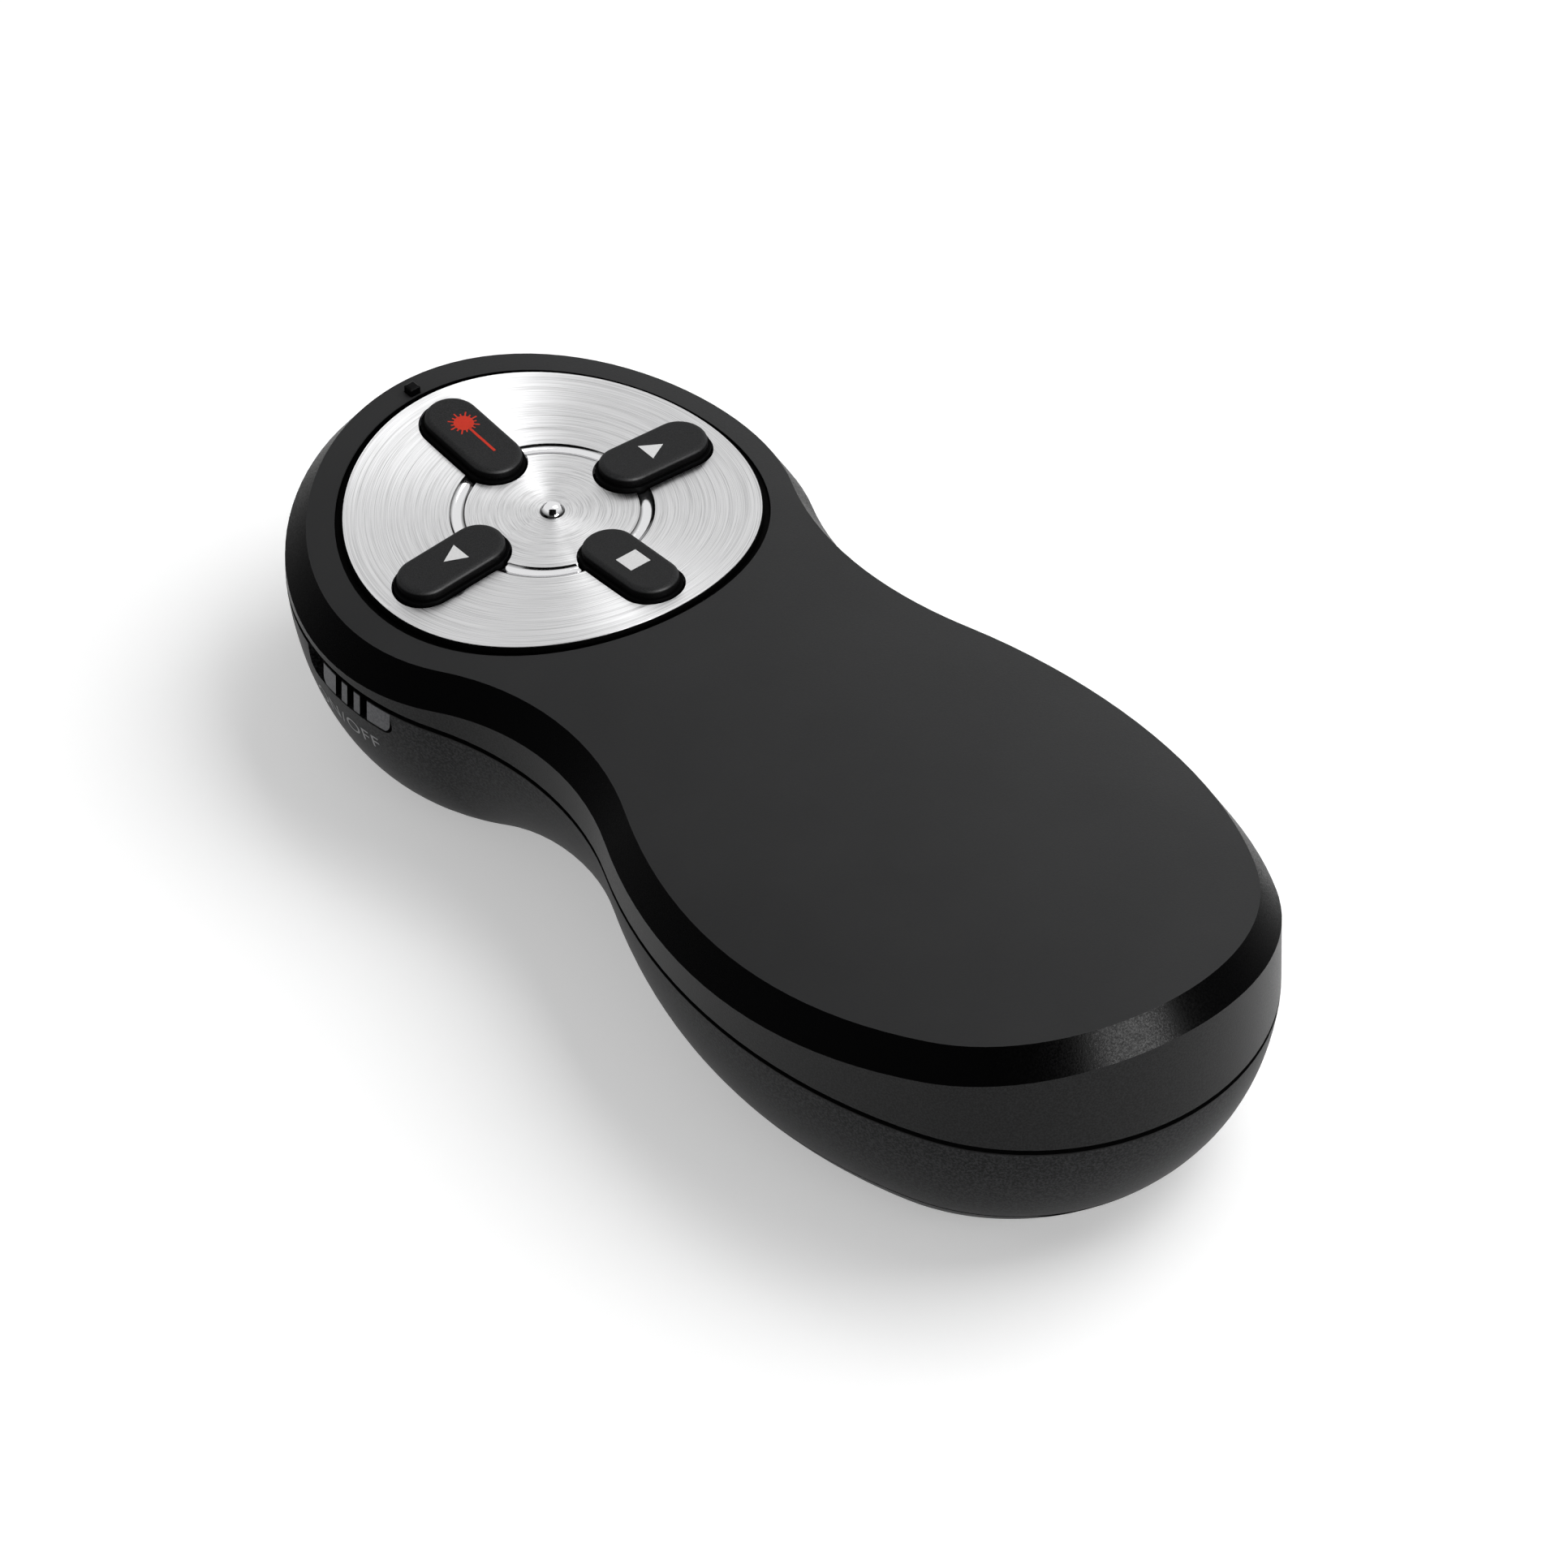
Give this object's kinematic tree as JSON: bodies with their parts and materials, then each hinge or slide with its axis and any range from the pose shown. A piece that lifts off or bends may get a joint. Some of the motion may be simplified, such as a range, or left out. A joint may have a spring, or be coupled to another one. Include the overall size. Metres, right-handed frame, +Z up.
{
  "type": "wireless presentation clicker",
  "caption": "Handheld presentation remote with a waisted two-shell body, dished round key plate, raised keys, slide power switch, laser window, battery door and stowed receiver.",
  "frame": {"origin": "on the table plane, under the middle of the body's length and width", "axes": "+Y towards the laser end, +Z up through the keys, +X to the right seen from the tail"},
  "size_m": [0.0448, 0.1008, 0.0262],
  "materials": {
    "top_plastic": "black satin moulding, softly textured on top",
    "base_plastic": "dark grey moulding with a fine grain",
    "plate_metal": "spun brushed metal with a polished ring groove",
    "bright_metal": "bright plated metal",
    "key_rubber": "matte black rubber",
    "knob_plastic": "grey satin moulding",
    "window_plastic": "dark red transparent plastic, looks black",
    "inner_plastic": "plain black moulding",
    "clear_plastic": "clear moulding",
    "lens_glass": "clear polished lens",
    "board": "green circuit board",
    "brass": "turned brass",
    "screw_steel": "zinc plated steel",
    "cell_jacket": "plain dark jacket, unmarked"
  },
  "bodies": {
    "housing": {"upper_housing": "top_plastic", "lower_housing": "base_plastic", "keypad_plate": "plate_metal", "centre_stud": "bright_metal", "laser_switch": "bright_metal", "next_switch": "bright_metal", "previous_switch": "bright_metal", "stop_switch": "bright_metal", "main_board": "board", "controller_chip": "inner_plastic", "crystal_can": "bright_metal", "indicator_led": "clear_plastic", "indicator_lens": "clear_plastic", "board_screws": "screw_steel", "laser_barrel": "brass", "laser_lens": "lens_glass", "laser_diode": "bright_metal", "laser_window": "window_plastic", "power_switch_body": "bright_metal", "battery_tray": "inner_plastic", "battery_left": "cell_jacket", "battery_right": "cell_jacket", "rear_bridge_contact": "bright_metal", "front_contacts": "bright_metal", "housing_screws": "screw_steel"},
    "laser_key": {"laser_button": "key_rubber", "laser_plunger": "inner_plastic"},
    "next_key": {"next_button": "key_rubber", "next_plunger": "inner_plastic"},
    "previous_key": {"previous_button": "key_rubber", "previous_plunger": "inner_plastic"},
    "stop_key": {"stop_button": "key_rubber", "stop_plunger": "inner_plastic"},
    "power_slide": {"power_knob": "knob_plastic", "power_switch_stem": "inner_plastic"},
    "door": {"battery_door": "base_plastic"},
    "receiver": {"receiver_case": "base_plastic", "receiver_plug_shell": "bright_metal", "receiver_tongue": "inner_plastic"}
  },
  "joints": [
    {"name": "laser_press", "type": "slide", "parent": "housing", "child": "laser_key", "axis": [0, -0.057, -0.9984], "range_m": [0, 0.0005], "stiffness_N_per_m": 400},
    {"name": "next_press", "type": "slide", "parent": "housing", "child": "next_key", "axis": [0, -0.057, -0.9984], "range_m": [0, 0.0005], "stiffness_N_per_m": 400},
    {"name": "previous_press", "type": "slide", "parent": "housing", "child": "previous_key", "axis": [0, -0.057, -0.9984], "range_m": [0, 0.0005], "stiffness_N_per_m": 400},
    {"name": "stop_press", "type": "slide", "parent": "housing", "child": "stop_key", "axis": [0, -0.057, -0.9984], "range_m": [0, 0.0005], "stiffness_N_per_m": 400},
    {"name": "power_slide_switch", "type": "slide", "parent": "housing", "child": "power_slide", "axis": [0, 1, 0], "range_m": [0, 0.002]},
    {"name": "battery_door_slide", "type": "slide", "parent": "housing", "child": "door", "axis": [0, -1, 0], "range_m": [0, 0.045]},
    {"name": "receiver_pull", "type": "slide", "parent": "housing", "child": "receiver", "axis": [0, 0, -1], "range_m": [0, 0.008]}
  ]
}
